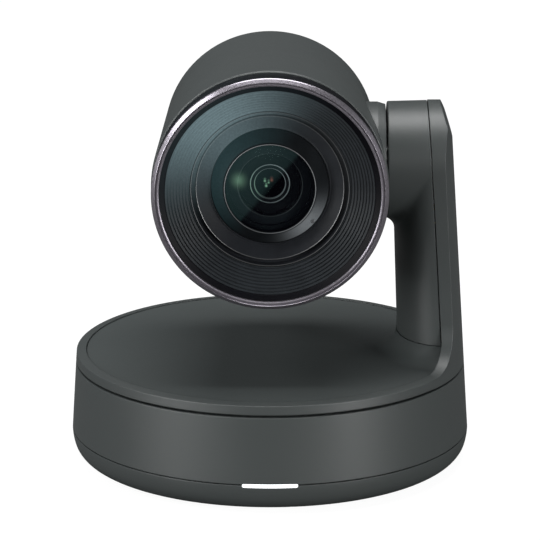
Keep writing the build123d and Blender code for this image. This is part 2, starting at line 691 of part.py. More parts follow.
def barrel_shell():
    """Tapered tube with a rounded rear edge and a small bead round its front edge."""
    rounding = BARREL_REAR_ROUND
    radius = BARREL_REAR_RADIUS
    slope = (BARREL_FRONT_RADIUS - radius) / (BARREL_FRONT - BARREL_REAR)
    start = (radius + slope * rounding, BARREL_REAR + rounding)
    end = (radius - rounding, BARREL_REAR)
    middle = (end[0] + (start[0] - end[0]) * cos(radians(45)), start[1] - rounding * sin(radians(45)))
    bead = 0.5
    edges = [
        Line((BARREL_FRONT_RADIUS - slope * bead, 0, BARREL_FRONT - bead), (start[0], 0, start[1])),
        ThreePointArc((start[0], 0, start[1]), (middle[0], 0, middle[1]), (end[0], 0, end[1])),
        Polyline(
            (end[0], 0, end[1]), (end[0], 0, BARREL_REAR + WALL),
            (radius - WALL, 0, BARREL_REAR + WALL + 1.5), (BARREL_FRONT_RADIUS - WALL, 0, BARREL_FRONT),
            (BARREL_FRONT_RADIUS - bead, 0, BARREL_FRONT),
            (BARREL_FRONT_RADIUS - slope * bead, 0, BARREL_FRONT - bead)),
    ]
    shell = on_lens_axis(revolve(make_face(edges), Axis.Z))
    return shell - on_tilt_axis(disc(NECK_OPENING_RADIUS, 30, 50))


def barrel_solid(margin=0.0):
    """The barrel's outer cone as a filled solid."""
    outline = turned((0, BARREL_REAR), (BARREL_REAR_RADIUS + margin, BARREL_REAR),
                     (BARREL_FRONT_RADIUS + margin, BARREL_FRONT), (0, BARREL_FRONT))
    return on_lens_axis(outline)


def neck_collar():
    collar = turned(
        (19.6, 28), (NECK_RADIUS, 28), (NECK_RADIUS, NECK_FACE_X - 3.0), (NECK_RADIUS - 0.9, NECK_FACE_X),
        (SHAFT_RADIUS + 0.1, NECK_FACE_X), (SHAFT_RADIUS + 0.1, NECK_FACE_X - 1.5), (19.6, NECK_FACE_X - 1.5))
    return on_tilt_axis(collar) - barrel_solid(0.02)


def tilt_shaft():
    """Hollow shaft with a flange that sits in the barrel's side opening."""
    flange_radius = NECK_OPENING_RADIUS - 0.2
    shaft = turned(
        (SHAFT_BORE, 39.9), (flange_radius, 39.9), (flange_radius, 41.9), (SHAFT_RADIUS, 41.9),
        (SHAFT_RADIUS, 60.5), (5.4, 60.5), (5.4, 63.4), (SHAFT_BORE, 63.4))
    return on_tilt_axis(shaft)


def tilt_gear():
    wheel = gear(TILT_MODULE, TILT_GEAR_TEETH, 2.4, 5.4)
    return on_tilt_axis(Pos(0, 0, TILT_GEAR_X) * wheel)


def front_trim():
    """Metal ring: a broad chamfer, a groove inside it and a thin lip round its inner edge."""
    profile = (
        (0.25, 2.6), (0.0, 2.2), (0.0, 1.35), (0.2, 1.05), (1.2, 0.15), (1.4, 0.0), (1.52, 0.15),
        (1.6, 0.9), (1.9, 0.9), (2.0, 0.55), (2.4, 0.5), (2.8, 0.65), (2.95, 0.95), (2.95, 2.6))
    return lens_turned(*[(TRIM_RADIUS - inward, back - TRIM_AHEAD) for inward, back in profile])


def black_bezel():
    """Black ring inside the trim, with a grooved skirt behind it back to the barrel."""
    outer = BEZEL_RADIUS
    inner = BEZEL_INNER_RADIUS
    step = TRIM_INNER_RADIUS - 0.1
    trim_back = 2.65 - TRIM_AHEAD
    back = FRONT - BARREL_FRONT
    return lens_turned(
        (inner, -0.7), (inner + 0.3, -1.0), (step, -2.2), (step, trim_back), (outer, trim_back),
        (outer, 0.7), (outer - 0.25, 0.9), (outer - 0.25, 1.4), (outer, 1.6), (outer, back),
        (outer - 1.7, back), (inner, 2.6))


def rear_cap():
    """Rear disc of the barrel with its cooling slots."""
    radius = BARREL_REAR_RADIUS - BARREL_REAR_ROUND - 0.2
    cap = turned(
        (0, BARREL_REAR + 0.4), (30, BARREL_REAR + 0.4), (31, BARREL_REAR), (radius, BARREL_REAR),
        (radius, BARREL_REAR + WALL), (0, BARREL_REAR + WALL))
    cap = on_lens_axis(cap)
    back = FRONT - BARREL_REAR
    for row in range(5):
        slot_z = 3 * (row - 2)
        cap -= lens_block(-12, 12, slot_z - 0.6, slot_z + 0.6, back - 5, back + 2)
    return cap


# --------------------------------------------------------------------------- lens

def ribbed_baffle():
    """Anti-glare funnel: rings cut by narrow grooves, each a little deeper than the one outside it."""
    outer, inner = BAFFLE_RADIUS, 29.9
    near, far = -0.8, 5.0
    groove_width, groove_depth = 0.42, 1.1
    pitch = (outer - inner) / RIB_COUNT
    fall = (far - near) / RIB_COUNT
    points = []
    for rib in range(RIB_COUNT):
        r = outer - pitch * rib
        depth = near + fall * rib
        edge = r - pitch + groove_width
        points += [(r, depth), (edge, depth + fall * 0.6), (edge, depth + groove_depth)]
        points += [(r - pitch, depth + groove_depth)]
    points += [(inner, far), (inner - 0.2, far), (inner - 0.2, far + 1.8), (outer, near + 2.2)]
    return lens_turned(*points)


def lens_housing():
    """Stepped front of the lens block, its tube, and four ears that hold it in the head."""
    bore = 21.5
    wall = 24.0
    housing = lens_turned(
        (29.5, 5.2), (29.3, 4.9), (29.0, 5.0), (28.9, 8.2), (27.7, 8.2), (27.6, 7.1), (27.3, 6.8),
        (27.0, 7.0), (22.6, 10.2), (22.3, 10.0), (22.0, 10.2), (21.9, 11.4), (12.1, 11.4), (11.8, 11.7),
        (11.8, 12.8), (bore, 12.8), (bore, HOUSING_REAR_DEPTH), (wall, HOUSING_REAR_DEPTH), (wall, 13.5),
        (29.5, 9.6))
    housing -= lens_rod(*at_angle(LOCK_SCREW_CIRCLE, LOCK_SCREW_ANGLE), 0.5, 11.0, 12.4)
    ears = []
    for angle in HOUSING_EAR_ANGLES:
        x, z = at_angle(HOUSING_EAR_CIRCLE, angle)
        ears.append(lens_rod(x, z, 3.0, 9.4, 12.4) - lens_rod(x, z, 1.1, 9, 13))
        inner_x, inner_z = at_angle(26, angle)
        ears.append(Pos(inner_x, 11.4 - FRONT, TILT_HEIGHT + inner_z) * Rot(0, -angle, 0) * Box(6, 2, 4))
    return housing + ears


def lens_screw(circle, angle, depth, screw_body):
    """Place a screw parallel to the lens axis, its head facing forward."""
    x, z = at_angle(circle, angle)
    return Pos(x, depth - FRONT, TILT_HEIGHT + z) * Rot(90, 0, 0) * screw_body


def head_screws():
    """Four screws through the lens housing's ears and the small one that locks the front retainer."""
    ear_screw = screw(6.0, 1.0, 2.0, 1.0)
    lock_screw = screw(2.6, 0.45, 0.8, 0.6)
    items = [lens_screw(HOUSING_EAR_CIRCLE, angle, 9.4, ear_screw) for angle in HOUSING_EAR_ANGLES]
    items.append(lens_screw(LOCK_SCREW_CIRCLE, LOCK_SCREW_ANGLE, LOCK_SCREW_DEPTH, lock_screw))
    return group(items)


def front_retainer():
    """Cone that carries the front lens forward out of the housing."""
    cone = lens_turned(
        (16.6, 5.6), (16.75, 5.45), (17.0, 5.5), (17.3, 5.9), (21.7, 10.4), (21.7, 11.3), (15.0, 11.3),
        (15.0, 9.3), (16.6, 9.3))
    x, z = at_angle(LOCK_SCREW_CIRCLE, LOCK_SCREW_ANGLE)
    return cone - lens_rod(x, z, 0.85, 7.0, LOCK_SCREW_DEPTH) - lens_rod(x, z, 0.5, 9.0, 12.0)


def front_lens():
    return lens_element(16.5, 6.4, 8.9, 2.4, 1.2)


def lens_frame():
    """Rear plate of the lens block with its guide rods and board spacers pressed in."""
    plate = lens_tube(21.4, 8.0, HOUSING_REAR_DEPTH - 2.0, HOUSING_REAR_DEPTH)
    for angle in (ZOOM_SCREW_ANGLE, FOCUS_SCREW_ANGLE):
        x, z = at_angle(ROD_OFFSET, angle)
        plate -= lens_rod(x, z, SCREW_RADIUS + RUNNING_GAP, 40, 50)
    for z in (-ROD_OFFSET, ROD_OFFSET):
        plate += lens_rod(0, z, ROD_RADIUS, 12.9, HOUSING_REAR_DEPTH - 0.5)
    for x, z in SPACER_PLACES:
        plate += lens_rod(x, z, 1.5, HOUSING_REAR_DEPTH - 0.5, 62.0)
    return plate


def rear_lens():
    return lens_element(7.9, 44.6, 45.6, 0.4, 0.3)


def carriage(ring, depth, length, bush_z, screw_angle):
    """A lens cell with a bushed lug on one guide rod, a fork on the other and a nut lug."""
    fork_z = -bush_z
    side = 1 if bush_z > 0 else -1
    near, far = depth + 1.0, depth + length
    body = ring
    body += lens_rod(0, bush_z, 2.6, near, far + 2.0)
    body += lens_block(-2, 2, min(side * 9, bush_z), max(side * 9, bush_z), near, far)
    arm_low, arm_high = sorted((-side * 9, fork_z - side))
    body += lens_block(-2.4, 2.4, arm_low, arm_high, near, near + 2.0)
    nut_x, nut_z = at_angle(ROD_OFFSET, screw_angle)
    mid_x, mid_z = at_angle(13.0, screw_angle)
    body += lens_rod(nut_x, nut_z, 2.4, near, far)
    middle = Pos(mid_x, (near + far) / 2 - FRONT, TILT_HEIGHT + mid_z)
    body += middle * Rot(0, -screw_angle, 0) * Box(8, far - near, 2.4)
    rod_fit = ROD_RADIUS + RUNNING_GAP
    body -= lens_rod(0, bush_z, rod_fit, depth - 1, far + 3)
    fork_low, fork_high = sorted((fork_z + side * 1.6, fork_z - side * 3))
    body -= lens_block(-rod_fit, rod_fit, fork_low, fork_high, depth - 1, far)
    body -= lens_rod(nut_x, nut_z, SCREW_RADIUS + RUNNING_GAP, depth - 1, far + 1)
    return body


def zoom_cell():
    d = ZOOM_CELL_DEPTH
    ring = lens_turned(
        (7.4, d), (5.9, d), (5.6, d + 0.6), (5.6, d + 1.4), (7.0, d + 1.4), (7.0, d + 5.5), (11.0, d + 5.5),
        (11.0, d + 1.0), (7.9, d + 0.8))
    return carriage(ring, d, 5.5, ROD_OFFSET, ZOOM_SCREW_ANGLE)


def zoom_lens():
    d = ZOOM_CELL_DEPTH
    return lens_element(6.95, d + 2.4, d + 4.4, 0.7, 0.5)


def focus_cell():
    d = FOCUS_CELL_DEPTH
    ring = lens_tube(10.5, 6.0, d, d + 4.0)
    ring -= lens_tube(7.5, 5.0, d + 1.0, d + 5.0)
    return carriage(ring, d - 0.5, 4.5, -ROD_OFFSET, FOCUS_SCREW_ANGLE)


def focus_lens():
    d = FOCUS_CELL_DEPTH
    return lens_element(7.45, d + 1.8, d + 3.2, 0.6, 0.5)


def lead_screw(angle, depth):
    """Lens drive screw, its thread shown as close rings, with the drive end in its motor."""
    x, z = at_angle(ROD_OFFSET, angle)
    screw_body = lens_rod(x, z, SCREW_RADIUS, depth, 49.0)
    pitch = 1.2
    groove_count = int((43.0 - depth) / pitch)
    for index in range(groove_count):
        near = depth + 0.6 + index * pitch
        groove = lens_rod(x, z, SCREW_RADIUS + 0.2, near, near + 0.4)
        screw_body -= groove - lens_rod(x, z, SCREW_RADIUS - 0.2, near, near + 0.4)
    return screw_body


def lens_motor(angle):
    x, z = at_angle(ROD_OFFSET, angle)
    can = lens_rod(x, z, 4.6, HOUSING_REAR_DEPTH + 0.1, 57.0)
    return can - lens_rod(x, z, SCREW_RADIUS + RUNNING_GAP, 40, 50)


def sensor_board():
    board = lens_block(-9.6, 9.6, -19.0, 19.0, 50.0, 51.2)
    for x, z in SPACER_PLACES:
        board -= lens_rod(x, z, 1.6, 49, 53)
    return board


def image_sensor():
    return lens_block(-5.0, 5.0, -3.8, 3.8, 48.9, 50.0)


def processor_board():
    board = lens_block(-23, 23, -23, 23, 62.0, 63.6) + lens_block(-8, 8, -8, 8, 63.5, 65.2)
    return board - lens_rod(21, 0, 2.3, 60, 65)


def heat_sink():
    sink = lens_block(-19, 19, -19, 19, 65.2, 67.4)
    for index in range(8):
        x = -17.5 + 5 * index
        sink += lens_block(x - 0.6, x + 0.6, -19, 19, 67.4, 76.0)
    return sink


def head_cable():
    """Round cable from the processor board out through the hollow tilt shaft."""
    bundle = on_tilt_axis(disc(2.0, 20.0, 63.0))
    down = lens_rod(21, 0, 1.9, 50.6, 64.5)
    return bundle + down


# --------------------------------------------------------------------------- write the nodes

def all_nodes():
    pan_inner, pan_outer, pan_balls = pan_bearing()
    tilt_inner, tilt_outer, tilt_balls = tilt_bearing()
    return {
        "bottom_cover": bottom_cover(),
        "foot_ring": foot_ring(),
        "base_shell": base_shell(),
        "light_bar": light_bar(),
        "led_board": led_board(),
        "chassis_plate": chassis_plate(),
        "base_screws": base_screws(),
        "tripod_insert": tripod_insert(),
        "pan_spindle": pan_spindle(),
        "pan_bearing_inner": pan_inner,
        "pan_bearing_outer": pan_outer,
        "pan_bearing_balls": pan_balls,
        "pan_motor": pan_motor(),
        "pan_pinion": pan_pinion(),
        "main_board": main_board(),
        "port_panel": port_panel(),
        "power_jack": power_jack(),
        "usb_port": usb_port(),
        "video_port": video_port(),
        "base_harness": base_harness(),
        "arm_frame": arm_frame(),
        "column_cover": column_cover(),
        "deck_panel": deck_panel(),
        "turntable_plate": turntable_plate(),
        "turntable_screws": turntable_screws(),
        "pan_gear": pan_gear(),
        "arm_flex": arm_flex(),
        "tilt_bracket": tilt_bracket(),
        "bracket_screws": bracket_screws(),
        "tilt_bearing_outer": tilt_outer,
        "tilt_bearing_inner": tilt_inner,
        "tilt_bearing_balls": tilt_balls,
        "tilt_motor": tilt_motor(),
        "tilt_pinion": tilt_pinion(),
        "tilt_gear": tilt_gear(),
        "tilt_shaft": tilt_shaft(),
        "neck_collar": neck_collar(),
        "barrel_shell": barrel_shell(),
        "rear_cap": rear_cap(),
        "front_trim": front_trim(),
        "black_bezel": black_bezel(),
        "ribbed_baffle": ribbed_baffle(),
        "lens_housing": lens_housing(),
        "front_retainer": front_retainer(),
        "front_lens": front_lens(),
        "lens_frame": lens_frame(),
        "zoom_cell": zoom_cell(),
        "zoom_lens": zoom_lens(),
        "focus_cell": focus_cell(),
        "focus_lens": focus_lens(),
        "zoom_screw": lead_screw(ZOOM_SCREW_ANGLE, ZOOM_CELL_DEPTH + 0.2),
        "focus_screw": lead_screw(FOCUS_SCREW_ANGLE, FOCUS_CELL_DEPTH - 4.0),
        "lens_motors": group([lens_motor(ZOOM_SCREW_ANGLE), lens_motor(FOCUS_SCREW_ANGLE)]),
        "rear_lens": rear_lens(),
        "image_sensor": image_sensor(),
        "sensor_board": sensor_board(),
        "processor_board": processor_board(),
        "heat_sink": heat_sink(),
        "head_cable": head_cable(),
        "head_screws": head_screws(),
    }


os.makedirs("parts", exist_ok=True)
for node, shape in all_nodes().items():
    export_step(shape, f"parts/{node}.step")
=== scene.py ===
import json
import math
import bpy
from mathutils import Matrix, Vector


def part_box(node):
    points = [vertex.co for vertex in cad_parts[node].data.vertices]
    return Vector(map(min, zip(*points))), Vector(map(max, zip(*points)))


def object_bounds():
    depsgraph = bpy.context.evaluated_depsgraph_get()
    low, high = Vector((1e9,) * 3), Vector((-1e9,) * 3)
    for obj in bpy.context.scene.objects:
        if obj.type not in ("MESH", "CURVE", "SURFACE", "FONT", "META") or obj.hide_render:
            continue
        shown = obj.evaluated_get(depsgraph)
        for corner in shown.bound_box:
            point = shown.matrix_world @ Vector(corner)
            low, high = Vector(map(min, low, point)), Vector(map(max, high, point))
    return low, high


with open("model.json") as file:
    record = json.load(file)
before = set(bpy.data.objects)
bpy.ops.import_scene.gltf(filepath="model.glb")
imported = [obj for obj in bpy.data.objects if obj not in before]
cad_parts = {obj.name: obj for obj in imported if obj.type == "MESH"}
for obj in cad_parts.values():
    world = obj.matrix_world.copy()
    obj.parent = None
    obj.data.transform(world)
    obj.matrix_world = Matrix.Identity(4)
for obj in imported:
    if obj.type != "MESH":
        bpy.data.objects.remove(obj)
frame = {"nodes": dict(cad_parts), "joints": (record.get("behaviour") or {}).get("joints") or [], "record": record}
cad_low, cad_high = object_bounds()

# Everything is in metres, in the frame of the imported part. The lens looks along -Y, and its axis passes
# through the tilt centre. Places and radii on the lens are in millimetres from that axis, and angles on it
# are in degrees, anticlockwise from +X as seen from in front.
MM = 0.001
TILT_CENTRE = Vector(next(j["pos_m"] for j in frame["joints"] if j["name"] == "tilt"))
LENS_CENTRE = (0.0, 0.0, TILT_CENTRE.z)
BODY_CENTRE = (0.0, 0.0, 0.08)

NOISE_LOW = 0.3                 # noise stays mostly between these two levels
NOISE_HIGH = 0.7

PLASTIC_GRAIN = 2600.0          # grains per metre of the spark-eroded mouldings
PLASTIC_GRAIN_DEPTH = 0.012 * MM
PLASTIC_EDGE_RADIUS = 0.45 * MM
WEAR_AND_HIGHLIGHT_BAND = 0.5 * MM            # how far the lighter edge band, part wear and part painted highlight, reaches from an edge
BLAST_DIMPLES = 2400.0          # dimples per metre of the blasted metals
BLAST_DEPTH = 0.02 * MM
TURNING_LINES = 1400.0          # tool marks per metre of the machined metals
TURNING_DEPTH = 0.01 * MM
LENS_GRAIN = 1500.0             # grains per metre of the blackened lens metal
LENS_GRAIN_DEPTH = 0.01 * MM
LAMP_PITCH = 5 * MM             # lamps behind the status light

RING_GLINT_ANGLE = 150.0        # faces the high left softbox; painted ring glint brightest here
VEIL_ANGLE = 139.8              # middle of the half of the glass with the painted reflection
VEIL_REACH = 16.0               # where the painted reflection is strongest

CAMERA_DISTANCE = 1.5293
CAMERA_ELEVATION = math.radians(15.86)
CAMERA_AIM_Z = 0.07294
CAMERA_FOCAL_MM = 266.87
CAMERA_SENSOR_MM = 36.0


def rgb(red, green, blue):
    return (red, green, blue, 1.0)


def grey(level):
    return rgb(level, level, level)


def shade(colour, factor):
    """The colour made lighter or darker by a factor."""
    return rgb(*(min(1.0, channel * factor) for channel in colour[:3]))


# Colours of the painted reflections, sheens and glints on the lens
TEAL = rgb(0.63, 0.92, 1.0)
DEEP_TEAL = rgb(0.40, 0.92, 1.0)
PALE = rgb(0.88, 0.95, 1.0)
GREEN = rgb(0.55, 1.0, 0.66)
RED = rgb(1.0, 0.35, 0.25)
VIOLET = rgb(0.6, 0.5, 1.0)
VEIL = rgb(0.48, 1.0, 0.98)


# ---------------------------------------------------------------- node graph helper

class Graph:
    """Builds one node material. An input is given either a constant or another node's output."""

    def __init__(self, name):
        self.material = bpy.data.materials.new(name)
        self.material.use_nodes = True
        self.tree = self.material.node_tree
        self.tree.nodes.clear()
        self.coordinates = self.add("TexCoord").outputs["Object"]

    def add(self, kind, inputs=None, **settings):
        node = self.tree.nodes.new("ShaderNode" + kind)
        for key, value in settings.items():
            setattr(node, key, value)
        for key, value in (inputs or {}).items():
            if isinstance(value, bpy.types.NodeSocket):
                self.tree.links.new(value, node.inputs[key])
            else:
                node.inputs[key].default_value = value
        return node

    def noise(self, per_metre, detail=3.0, roughness=0.55):
        node = self.add("TexNoise", {"Vector": self.coordinates, "Scale": per_metre, "Detail": detail,
                                     "Roughness": roughness})
        return node.outputs["Fac"]

    def voronoi(self, per_metre):
        return self.add("TexVoronoi", {"Vector": self.coordinates, "Scale": per_metre}).outputs["Distance"]

    def span(self, value, low, high, out_low=0.0, out_high=1.0):
        """The value carried from one range to another, and held inside it."""
        node = self.add("MapRange", {"Value": value, "From Min": low, "From Max": high, "To Min": out_low,
                                     "To Max": out_high})
        return node.outputs["Result"]

    def vary(self, noise, out_low=0.0, out_high=1.0):
        """Noise spread over a whole range."""
        return self.span(noise, NOISE_LOW, NOISE_HIGH, out_low, out_high)

    def math(self, operation, first, second=0.0):
        return self.add("Math", {0: first, 1: second}, operation=operation).outputs[0]

    def product(self, first, *others):
        for other in others:
            first = self.math("MULTIPLY", first, other)
        return first

    def mix(self, factor, first, second):
        node = self.add("Mix", data_type="RGBA")
        for socket, value in ((node.inputs[0], factor), (node.inputs[6], first), (node.inputs[7], second)):
            if isinstance(value, bpy.types.NodeSocket):
                self.tree.links.new(value, socket)
            else:
                socket.default_value = value
        return node.outputs[2]

    def rounded_normal(self, radius):
        return self.add("Bevel", {"Radius": radius}, samples=4).outputs["Normal"]

    def bump(self, height, depth, strength=1.0, edge_radius=0.0):
        """Bump normal, with sharp edges shaded as if rounded when an edge radius is given."""
        node = self.add("Bump", {"Height": height, "Distance": depth, "Strength": strength})
        if edge_radius:
            self.tree.links.new(self.rounded_normal(edge_radius), node.inputs["Normal"])
        return node.outputs["Normal"]

    def edge_mask(self, radius):
        """1 near sharp edges, 0 on open faces."""
        normals = {0: self.rounded_normal(radius), 1: self.add("NewGeometry").outputs["Normal"]}
        agreement = self.add("VectorMath", normals, operation="DOT_PRODUCT").outputs["Value"]
        return self.span(agreement, 0.98, 0.80)

    def lens_offsets(self):
        """Distance to the right of and above the lens axis."""
        parts = self.add("SeparateXYZ", {"Vector": self.coordinates})
        across = self.math("DIVIDE", parts.outputs["X"], MM)
        up = self.math("DIVIDE", self.math("SUBTRACT", parts.outputs["Z"], TILT_CENTRE.z), MM)
        return across, up

    def lens_radius(self, x=0.0, z=0.0):
        """Distance from the lens axis, or from a line parallel to it through (x, z)."""
        across, up = self.lens_offsets()
        right = self.math("POWER", self.math("SUBTRACT", across, x), 2.0)
        above = self.math("POWER", self.math("SUBTRACT", up, z), 2.0)
        return self.math("SQRT", self.math("ADD", right, above))

    def toward(self, degrees):
        """Distance from the lens axis measured in one direction."""
        across, up = self.lens_offsets()
        angle = math.radians(degrees)
        return self.math("ADD", self.product(across, math.cos(angle)), self.product(up, math.sin(angle)))

    def lens_cosine(self, degrees):
        """1 at one angle round the lens axis, 0 a quarter turn away and -1 opposite."""
        radius = self.math("MAXIMUM", self.lens_radius(), 0.1)
        return self.math("DIVIDE", self.toward(degrees), radius)

    def lobe(self, degrees, power):
        """1 at one angle round the lens axis, falling smoothly to 0 a quarter turn away."""
        return self.math("POWER", self.math("MAXIMUM", self.lens_cosine(degrees), 0.0), power)

    def spot(self, x, z, radius):
        """Soft round spot on the lens, 1 at its centre."""
        return self.math("POWER", self.span(self.lens_radius(x, z), radius, 0.0), 2.0)

    def with_glow(self, shader, colour, strength):
        """The shader with light of its own added."""
        glow = self.add("Emission", {"Color": colour, "Strength": strength}).outputs[0]
        return self.add("AddShader", {0: shader, 1: glow}).outputs[0]

    def finish(self, shader):
        output = self.add("OutputMaterial")
        self.tree.links.new(shader, output.inputs["Surface"])
        return self.material


# ---------------------------------------------------------------- materials

def moulded_plastic(name, base, variation, roughness, ior=1.5):
    """Spark-eroded moulding: fine grain, a slow tone drift, edges lighter by wear and painted highlight."""
    g = Graph(name)
    drift = g.vary(g.noise(9.0, 2.0))
    grain = g.noise(PLASTIC_GRAIN, 2.0)
    colour = g.mix(drift, base, variation)
    # Lighter band along edges: partly rubbed wear, partly a painted highlight standing in for light on the edge.
    patchy_wear_and_highlight = g.span(g.noise(60.0, 4.0), 0.35, 0.75, 0.1, 0.35)
    wear_and_highlight = g.product(g.edge_mask(WEAR_AND_HIGHLIGHT_BAND), patchy_wear_and_highlight)
    colour = g.mix(wear_and_highlight, colour, shade(base, 1.9))
    smears = g.vary(g.noise(35.0, 4.0), -0.03, 0.03)
    rough = g.math("ADD", g.vary(grain, roughness - 0.04, roughness + 0.04), smears)
    normal = g.bump(grain, PLASTIC_GRAIN_DEPTH, edge_radius=PLASTIC_EDGE_RADIUS)
    shader = g.add("BsdfPrincipled", {"Base Color": colour, "Roughness": rough, "IOR": ior,
                                      "Normal": normal})
    return g.finish(shader.outputs[0])


def blasted_metal(name, base, roughness, metallic=1.0):
    """Bead-blasted, anodised metal with a faint sparkle."""
    g = Graph(name)
    tone = g.vary(g.noise(900.0, 4.0))
    colour = g.mix(tone, shade(base, 0.9), shade(base, 1.1))
    rough = g.vary(g.noise(1500.0, 2.0), roughness - 0.03, roughness + 0.04)
    normal = g.bump(g.voronoi(BLAST_DIMPLES), BLAST_DEPTH, 0.1)
    shader = g.add("BsdfPrincipled", {"Base Color": colour, "Metallic": metallic, "Roughness": rough,
                                      "Normal": normal})
    return g.finish(shader.outputs[0])


def machined_metal(name, base, roughness):
    """Turned or ground metal: fine directional lines and slight tarnish."""
    g = Graph(name)
    along_lines = 30.0
    stretch = (TURNING_LINES, along_lines, TURNING_LINES)
    stretched = g.add("Mapping", {"Vector": g.coordinates, "Scale": stretch}).outputs[0]
    lines = g.add("TexNoise", {"Vector": stretched, "Scale": 1.0, "Detail": 3.0}).outputs["Fac"]
    tarnish = g.span(g.noise(120.0, 4.0), 0.35, 0.7)
    colour = g.mix(tarnish, base, shade(base, 0.72))
    rough = g.vary(lines, roughness - 0.05, roughness + 0.1)
    shader = g.add("BsdfPrincipled", {"Base Color": colour, "Metallic": 1.0, "Roughness": rough,
                                      "Normal": g.bump(lines, TURNING_DEPTH, 0.5)})
    return g.finish(shader.outputs[0])


def rubber(name):
    """Matt black rubber with open pores and a little dust."""
    g = Graph(name)
    pores = g.noise(1800.0, 3.0)
    dust = g.span(g.noise(80.0, 5.0), 0.5, 0.8, 0.0, 0.25)
    colour = g.mix(dust, grey(0.018), rgb(0.06, 0.058, 0.055))
    shader = g.add("BsdfPrincipled", {"Base Color": colour, "Roughness": g.vary(pores, 0.7, 0.9),
                                      "Sheen Weight": 0.15, "Normal": g.bump(pores, 0.04 * MM)})
    return g.finish(shader.outputs[0])


def circuit_board(name):
    """Solder mask with copper tracks and tinned pads."""
    g = Graph(name)
    cells = g.add("TexBrick", {"Vector": g.coordinates, "Scale": 300.0, "Mortar Size": 0.03,
                               "Color1": grey(0.0), "Color2": grey(0.0), "Mortar": grey(1.0)})
    pads = g.span(g.voronoi(260.0), 0.16, 0.13)
    mask = g.mix(cells.outputs["Color"], rgb(0.006, 0.07, 0.03), rgb(0.012, 0.13, 0.055))
    colour = g.mix(pads, mask, rgb(0.62, 0.6, 0.55))
    rough = g.span(pads, 0.0, 1.0, 0.35, 0.25)
    shader = g.add("BsdfPrincipled", {"Base Color": colour, "Roughness": rough, "Metallic": pads,
                                      "Normal": g.bump(pads, 0.05 * MM)})
    return g.finish(shader.outputs[0])


def status_light(name):
    """White diffuser lit from behind by a row of lamps, a little dimmer at its ends."""
    g = Graph(name)
    low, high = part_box("light_bar")
    half_width = (high.x - low.x) / 2
    x = g.add("SeparateXYZ", {"Vector": g.coordinates}).outputs["X"]
    across = g.math("DIVIDE", g.math("ABSOLUTE", x), half_width)
    ends = g.span(across, 0.75, 1.0, 1.0, 0.7)
    lamps = g.math("COSINE", g.product(x, 2 * math.pi / LAMP_PITCH))
    strength = g.product(ends, g.span(lamps, -1.0, 1.0, 1.0, 0.92), 1.7)
    shader = g.add("BsdfPrincipled", {"Base Color": grey(0.8), "Roughness": 0.3,
                                      "Emission Color": rgb(0.93, 0.97, 1.0),
                                      "Emission Strength": strength})
    return g.finish(shader.outputs[0])


def lens_black(name, base, roughness, sheens=(), bright_rings=(), glow_from=0.0, ring_glow=0.0,
               fill=0.35, rings_only=False):
    """Blackened lens metalwork.

    Each sheen is (angle, power, colour, level): a painted reflection, light added where the black surfaces
    turn to that side of the lens, standing in for the studio's light as they mirror it; none of it nearer the
    axis than glow_from and only the fill share of it on surfaces that don't face forward. Each bright ring is
    (radius, half width, level), a polished edge of lighter metal with a painted glint on it, brightest towards
    RING_GLINT_ANGLE and the opposite side as ring_glow sets; with rings_only nothing else takes a sheen.
    """
    g = Graph(name)
    grain = g.noise(LENS_GRAIN, 3.0)
    radius = g.lens_radius()
    colour = g.mix(g.vary(g.noise(140.0, 3.0)), base, shade(base, 1.4))
    normal_parts = g.add("SeparateXYZ", {"Vector": g.add("TexCoord").outputs["Normal"]})
    forward = g.math("MAXIMUM", g.product(normal_parts.outputs["Y"], -1.0), 0.0)
    facing = g.span(g.math("POWER", forward, 3.0), 0.0, 1.0, fill, 1.0)
    limit = g.product(facing, g.span(radius, glow_from, glow_from + 0.6), g.vary(grain, 0.85, 1.15))
    ring_mask = 0.0
    for ring_radius, half_width, level in bright_rings:
        off = g.math("ABSOLUTE", g.math("SUBTRACT", radius, ring_radius))
        mask = g.span(off, half_width, half_width * 0.5)
        colour = g.mix(mask, colour, grey(level))
        ring_mask = g.math("MAXIMUM", mask, ring_mask)
    if rings_only:
        limit = g.product(limit, ring_mask)
    # Painted glint on the polished rings, brightest on the side facing the high left softbox and on the side
    # opposite it.
    glint = g.math("POWER", g.math("ABSOLUTE", g.lens_cosine(RING_GLINT_ANGLE)), 2.0)
    ring_level = g.span(glint, 0.0, 1.0, 0.35 * ring_glow, ring_glow)
    body = g.add("BsdfPrincipled", {
        "Base Color": colour, "Metallic": ring_mask, "Specular IOR Level": 0.08,
        "Roughness": g.vary(grain, roughness - 0.05, roughness + 0.06),
        "Normal": g.bump(grain, LENS_GRAIN_DEPTH, 0.7),
        "Emission Color": PALE, "Emission Strength": g.product(ring_mask, ring_level)}).outputs[0]
    # Painted reflections: light added by angle round the lens, standing in for the studio's light mirrored in the
    # black metal.
    for angle, power, tint, level in sheens:
        body = g.with_glow(body, tint, g.product(g.lobe(angle, power), limit, level))
    return g.finish(body)


